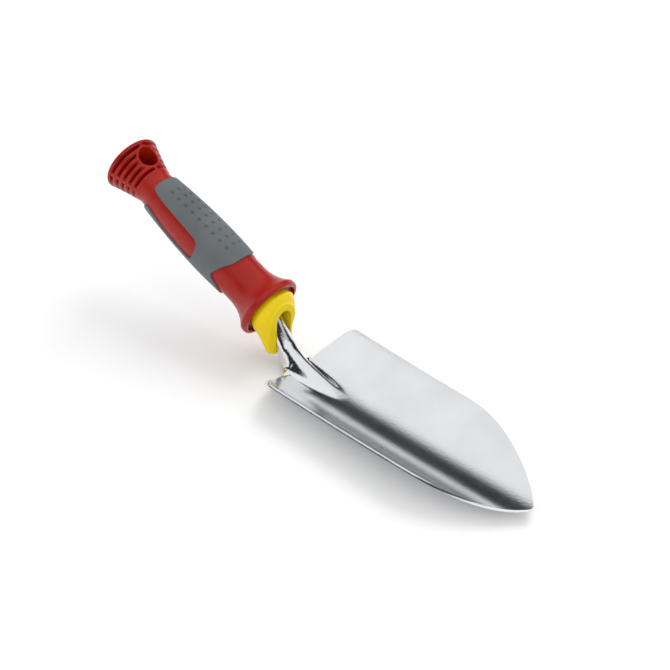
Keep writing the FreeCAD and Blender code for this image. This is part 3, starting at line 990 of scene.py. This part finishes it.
@dataclass
class DimpleField:
    """Rows of small round dimples sunk into the top of the grip. Millimetres and degrees."""

    stance: Stance
    seat: Callable[[float], float]
    first_at: float = 39.6
    pitch: float = 6.2
    rows: int = 9
    columns: int = 3
    spacing: float = 20.0
    radius: float = 1.35
    depth: float = 0.85
    flat_part: float = 0.45

    def tree(self) -> bpy.types.NodeTree:
        """Geometry tree that presses a wrapped grid of points into the piece it is on.

        Returns:
            The tree, with named inputs for the sizes.
        """
        tree = bpy.data.node_groups.new("dimple_field", "GeometryNodeTree")
        face = tree.interface
        face.new_socket("Geometry", in_out="INPUT", socket_type="NodeSocketGeometry")
        for name in ("Dimple radius", "Dimple depth", "Row pitch", "First row", "Column angle"):
            face.new_socket(name, in_out="INPUT", socket_type="NodeSocketFloat")
        face.new_socket("Material", in_out="INPUT", socket_type="NodeSocketMaterial")
        face.new_socket("Geometry", in_out="OUTPUT", socket_type="NodeSocketGeometry")
        nodes = Nodes(tree)
        entry, leave = nodes.add("NodeGroupInput"), nodes.add("NodeGroupOutput")
        grid = nodes.add("GeometryNodeMeshGrid")
        grid.inputs["Vertices X"].default_value = self.rows
        grid.inputs["Vertices Y"].default_value = self.columns
        grid.inputs["Size X"].default_value = self.rows - 1.0
        grid.inputs["Size Y"].default_value = self.columns - 1.0
        spot = nodes.add("GeometryNodeInputPosition")
        parts = nodes.add("ShaderNodeSeparateXYZ")
        nodes.link(spot.outputs["Position"], parts.inputs[0])
        calc = nodes.calc
        middle = self.first_at + self.pitch * (self.rows - 1) / 2
        half = self.pitch * (self.rows - 1) / 2
        centre = self.seat(middle)
        bow = (centre - (self.seat(middle - half) + self.seat(middle + half)) / 2) / half**2 / MM
        tilt = (self.seat(middle + half) - self.seat(middle - half)) / (2 * half)
        row = calc("ADD", parts.outputs["X"], (self.rows - 1) / 2)
        run = calc("MULTIPLY_ADD", row, entry.outputs["Row pitch"], entry.outputs["First row"])
        off = calc("SUBTRACT", run, middle * MM)
        angle = calc("MULTIPLY", parts.outputs["Y"], entry.outputs["Column angle"])
        level = calc("MULTIPLY_ADD", calc("MULTIPLY", off, off), -bow, centre * MM)
        seat = calc("MULTIPLY_ADD", off, tilt, level)
        across = calc("MULTIPLY", calc("SINE", angle), seat)
        rise = calc("MULTIPLY", calc("COSINE", angle), seat)
        along_axis, upward = self.stance.axes()
        butt = Vector(self.stance.handle(0.0, 0.0, 0.0))
        ends = [
            calc("ADD", calc("MULTIPLY_ADD", run, axis, start), calc("MULTIPLY", rise, up))
            for axis, start, up in (
                (along_axis.x, butt.x, upward.x),
                (along_axis.z, butt.z, upward.z),
            )
        ]
        joined = nodes.add("ShaderNodeCombineXYZ")
        nodes.link(ends[0], joined.inputs["X"])
        nodes.link(across, joined.inputs["Y"])
        nodes.link(ends[1], joined.inputs["Z"])
        wrap = nodes.add("GeometryNodeSetPosition")
        nodes.link(grid.outputs["Mesh"], wrap.inputs["Geometry"])
        nodes.link(joined.outputs["Vector"], wrap.inputs["Position"])
        near = nodes.add("GeometryNodeProximity", target_element="POINTS")
        nodes.link(wrap.outputs["Geometry"], near.inputs[0])
        share = calc("DIVIDE", near.outputs["Distance"], entry.outputs["Dimple radius"])
        bowl = nodes.add("ShaderNodeMapRange", interpolation_type="SMOOTHSTEP")
        for name, number in (
            ("From Min", self.flat_part), ("From Max", 1.0), ("To Min", 1.0), ("To Max", 0.0)
        ):
            bowl.inputs[name].default_value = number
        nodes.link(share, bowl.inputs["Value"])
        depth = calc("MULTIPLY", bowl.outputs["Result"], entry.outputs["Dimple depth"])
        sink = calc("MULTIPLY", depth, -1.0)
        inward = nodes.add("ShaderNodeVectorMath", operation="SCALE")
        nodes.link(nodes.add("GeometryNodeInputNormal").outputs["Normal"], inward.inputs[0])
        nodes.link(sink, inward.inputs["Scale"])
        press = nodes.add("GeometryNodeSetPosition")
        nodes.link(entry.outputs["Geometry"], press.inputs["Geometry"])
        nodes.link(inward.outputs["Vector"], press.inputs["Offset"])
        real = nodes.add("GeometryNodeRealizeInstances")
        nodes.link(press.outputs["Geometry"], real.inputs["Geometry"])
        cover = nodes.add("GeometryNodeSetMaterial")
        nodes.link(real.outputs["Geometry"], cover.inputs["Geometry"])
        nodes.link(entry.outputs["Material"], cover.inputs["Material"])
        nodes.link(cover.outputs["Geometry"], leave.inputs["Geometry"])
        return tree

    def press(self, obj: Piece, material: Material) -> None:
        """Adds the dimple modifier to a piece, with its sizes.

        Args:
            obj: The piece.
            material: Material that it gets.
        """
        tree = self.tree()
        work = obj.modifiers.new("dimples", "NODES")
        work.node_group = tree
        values = {
            "Dimple radius": self.radius * MM,
            "Dimple depth": self.depth * MM,
            "Row pitch": self.pitch * MM,
            "First row": self.first_at * MM,
            "Column angle": math.radians(self.spacing),
            "Material": material,
        }
        for item in tree.interface.items_tree:
            if item.in_out == "INPUT" and item.name in values:
                work[item.identifier] = values[item.name]


@dataclass
class SoftGrip:
    """Rubber sleeve: two tongues joined by a band at the front. Millimetres and degrees."""

    stance: Stance
    rear: float = 29.5
    fork: float = 76.0
    closing_from: float = 68.0
    top_close: float = 34.0
    low_close: float = 20.0
    rear_corner: float = 3.0
    corner_share: float = 0.16
    wall: float = 1.35
    edge: float = 0.6
    rear_rows: int = 110
    front_rows: int = 40
    top_columns: int = 56
    low_columns: int = 30

    @staticmethod
    def radius(x: float) -> float:
        """Outer radius of the sleeve at x."""
        return along(SLEEVE_RADIUS, x)

    def top_edge(self, x: float) -> float:
        """Angle from the top of the handle to the upper edge of the side window at x."""
        return along(WINDOW_TOP, x) + self.top_close * self.closing(x)

    def low_edge(self, x: float) -> float:
        """Angle from the top of the handle to the lower edge of the side window at x."""
        return along(WINDOW_LOW, x) - self.low_close * self.closing(x)

    def closing(self, x: float) -> float:
        """How far the side window has closed at x: 0 along its length, 1 at its rounded front end."""
        part = min(1.0, max(0.0, (x - self.closing_from) / (self.fork - self.closing_from)))
        return 1.0 - (1.0 - part**3) ** (1 / 3)

    @staticmethod
    def front_edge(angle: float) -> float:
        """Place of the sleeve's front edge at an angle from the top."""
        return along(SLEEVE_FRONT, angle)

    def point(self, run: float, part: float, low: bool) -> Point:
        """Point of the outer skin.

        Args:
            run: 0 at the rear end, 1 at the fork, 2 at the front edge.
            part: 0 to 1 from the tongue's middle to its edge.
            low: True for the bottom tongue.

        Returns:
            The point, for the right half of the sleeve.
        """
        round_part = max(0.0, (part - 1.0 + self.corner_share) / self.corner_share)
        start = self.rear + self.rear_corner * (1.0 - math.sqrt(max(0.0, 1.0 - round_part**2)))
        x = start + (self.fork - start) * min(1.0, run)
        edge = self.low_edge(x) if low else self.top_edge(x)
        angle = 180.0 - part * (180.0 - edge) if low else part * edge
        if run > 1.0:
            x = self.fork + (self.front_edge(angle) - self.fork) * (run - 1.0)
        turn, radius = math.radians(angle), self.radius(x)
        return (x, radius * math.sin(turn), radius * math.cos(turn))

    def tongue(self, low: bool, verts: list[Point], faces: list[tuple[int, ...]]) -> None:
        """Adds one tongue, both of its halves, with its share of the front band.

        Args:
            low: True for the bottom tongue.
            verts: Points so far.
            faces: Faces so far.
        """
        half = self.low_columns if low else self.top_columns
        first = len(verts)
        wide = 2 * half + 1
        runs = [math.sin(math.pi / 2 * i / self.rear_rows) ** 0.9 for i in range(self.rear_rows + 1)]
        runs += [1.0 + i / self.front_rows for i in range(1, self.front_rows + 1)]
        for run in runs:
            for j in range(-half, half + 1):
                x, y, z = self.point(run, abs(j) / half, low)
                verts.append(self.stance.handle(x, math.copysign(y, j), z))
        for i in range(len(runs) - 1):
            for j in range(wide - 1):
                a = first + i * wide + j
                faces.append((a, a + 1, a + wide + 1, a + wide))

    def build(self) -> Piece:
        """Makes the sleeve's skin, presses its dimples, thickens it and rounds its edges.

        Returns:
            The grip's object.
        """
        verts: list[Point] = []
        faces: list[tuple[int, ...]] = []
        self.tongue(False, verts, faces)
        self.tongue(True, verts, faces)
        obj = new_object("soft_grip", verts, faces)
        self.face_out(obj)
        DimpleField(self.stance, self.radius).press(obj, SoftRubber().material())
        wall = obj.modifiers.new("wall", "SOLIDIFY")
        wall.thickness = self.wall * MM
        wall.offset = -1.0
        soften(obj, self.edge * MM, 3, 60.0)
        return settle(obj, 60.0)

    def face_out(self, obj: Piece) -> None:
        """Turns the open skin so that its faces point away from the handle's axis.

        Args:
            obj: The skin.
        """
        butt = Vector(self.stance.handle(0.0, 0.0, 0.0))
        axis = self.stance.axes()[0]
        shape = bmesh.new()
        shape.from_mesh(obj.data)
        out = 0.0
        for face in shape.faces:
            arm = face.calc_center_median() - butt
            out += face.normal.dot(arm - axis * arm.dot(axis)) * face.calc_area()
        if out < 0.0:
            bmesh.ops.reverse_faces(shape, faces=shape.faces)
        shape.to_mesh(obj.data)
        shape.free()

    def dress(self, obj: Piece) -> None:
        """Puts the grip in place."""
        place(obj, Slot.GRIP, "grip")


@dataclass
class HandleCore:
    """Red core of the handle: finned knob, waist and front flange."""

    node: Piece
    edge: float = 0.3 * MM

    def build(self) -> Piece:
        """Rounds the core's edges.

        Returns:
            The core's object.
        """
        return rounded_copy("core_body", self.node, self.edge)

    def dress(self, obj: Piece) -> None:
        """Colours the core and puts it in place."""
        finish = MouldedPlastic("red_plastic", (0.37, 0.010, 0.004), (0.30, 0.007, 0.003), 0.27)
        paint(obj, finish.material())
        place(obj, Slot.HANDLE, "handle_core")


@dataclass
class Studio:
    """Pale floor, soft light and the camera. Metres and degrees."""

    camera_at: Point = (0.31991, -0.41051, 0.41296)
    camera_to: Point = (-0.00994, 0.03785, 0.00519)
    camera_roll: float = 7.483
    lens: float = 60.87
    sensor: float = 36.0
    floor_half: float = 15.0
    key_turn: float = 106.0
    key_rise: float = 47.0
    key_away: float = 1.5
    key_side: float = 0.9
    key_power: float = 9.0
    sky_power: float = 0.95
    belt_tone: Colour = (0.03, 0.033, 0.036)
    belt_facing: Point = (-0.5, 0.866, 0.0)
    far_belt: tuple[float, ...] = (0.17, 0.27, 0.60, 0.74)
    far_sweep: Pair = (-0.1, 0.3)
    near_belt: tuple[float, ...] = (0.10, 0.20, 0.52, 0.68)
    near_sweep: Pair = (0.1, -0.3)

    def floor(self) -> None:
        """Makes the floor."""
        half = self.floor_half
        corners = [(-half, -half, 0.0), (half, -half, 0.0), (half, half, 0.0), (-half, half, 0.0)]
        obj = new_object("studio_floor", corners, [(0, 1, 2, 3)])
        paint(obj, PaleFloor().material())

    def sky(self) -> None:
        """Makes the soft white surround, with the dark gaps between lamps that polished metal shows."""
        world = bpy.data.worlds.new("studio_sky")
        world.use_nodes = True
        bpy.context.scene.world = world
        nodes = Nodes(world.node_tree)
        back = world.node_tree.nodes["Background"]
        way = nodes.add("ShaderNodeTexCoord").outputs["Generated"]
        parts = nodes.add("ShaderNodeSeparateXYZ")
        nodes.link(way, parts.inputs[0])
        facing = nodes.add("ShaderNodeVectorMath", operation="DOT_PRODUCT")
        nodes.link(way, facing.inputs[0])
        facing.inputs[1].default_value = self.belt_facing
        rise, side = parts.outputs["Z"], facing.outputs["Value"]
        far = self.strip(nodes, rise, self.far_belt, side, self.far_sweep)
        near = self.strip(nodes, rise, self.near_belt, side, self.near_sweep)
        glossy = nodes.add("ShaderNodeLightPath").outputs["Is Glossy Ray"]
        seen = nodes.calc("MULTIPLY", nodes.calc("MAXIMUM", far, near), glossy)
        nodes.link(nodes.tint(seen, WHITE, self.belt_tone), back.inputs["Color"])
        back.inputs["Strength"].default_value = self.sky_power

    @staticmethod
    def strip(
        nodes: Nodes, rise: Socket, levels: Sequence[float], facing: Socket, sweep: Pair
    ) -> Socket:
        """Mask of a level strip of the surround.

        Args:
            nodes: Node builder of the world.
            rise: Height of the direction looked at.
            levels: Heights at which the strip starts, is full, starts to end and ends.
            facing: How far that direction faces the far side.
            sweep: Facing values between which the strip fades in.

        Returns:
            The mask's socket.
        """
        mask = nodes.spread(rise, 0.0, 1.0, levels[0], levels[1])
        for factor in (nodes.spread(rise, 1.0, 0.0, levels[2], levels[3]),
                       nodes.spread(facing, 0.0, 1.0, sweep[0], sweep[1])):
            mask = nodes.calc("MULTIPLY", mask, factor)
        return mask

    def lamps(self) -> None:
        """Hangs the large soft lamp on the far side."""
        turn, rise = math.radians(self.key_turn), math.radians(self.key_rise)
        level = math.cos(rise)
        away = Vector((math.cos(turn) * level, math.sin(turn) * level, math.sin(rise)))
        lamp = bpy.data.lights.new("key_lamp", "AREA")
        lamp.shape = "SQUARE"
        lamp.size = self.key_side
        lamp.energy = self.key_power
        obj = bpy.data.objects.new("key_lamp", lamp)
        obj.location = away * self.key_away
        obj.rotation_euler = away.to_track_quat("Z", "Y").to_euler()
        obj.visible_glossy = False
        bpy.context.scene.collection.objects.link(obj)

    def camera(self) -> None:
        """Sets the camera."""
        data = bpy.data.cameras.new("camera")
        data.lens = self.lens
        data.sensor_width = self.sensor
        data.clip_start, data.clip_end = 0.01, 20.0
        obj = bpy.data.objects.new("camera", data)
        start, goal = Vector(self.camera_at), Vector(self.camera_to)
        look = (goal - start).to_track_quat("-Z", "Y").to_matrix().to_4x4()
        roll = Matrix.Rotation(math.radians(self.camera_roll), 4, "Z")
        obj.matrix_world = Matrix.Translation(start) @ look @ roll
        bpy.context.scene.collection.objects.link(obj)
        bpy.context.scene.camera = obj

    def build(self) -> None:
        """Sets up the whole studio."""
        self.floor()
        self.sky()
        self.lamps()
        self.camera()
        bpy.context.scene.view_settings.view_transform = "Standard"


def main() -> None:
    """Builds the trowel's pieces in order, then the studio."""
    logging.basicConfig(level=logging.INFO, format="%(name)s %(message)s")
    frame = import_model()
    stance = Stance.from_frame()
    makers = (
        PressedBlade(stance),
        NoseCollar(stance),
        SoftGrip(stance),
        HandleCore(frame["nodes"]["handle_core"]),
    )
    for maker in makers:
        maker.dress(maker.build())
    Studio().build()


if __name__ == "__main__":
    main()
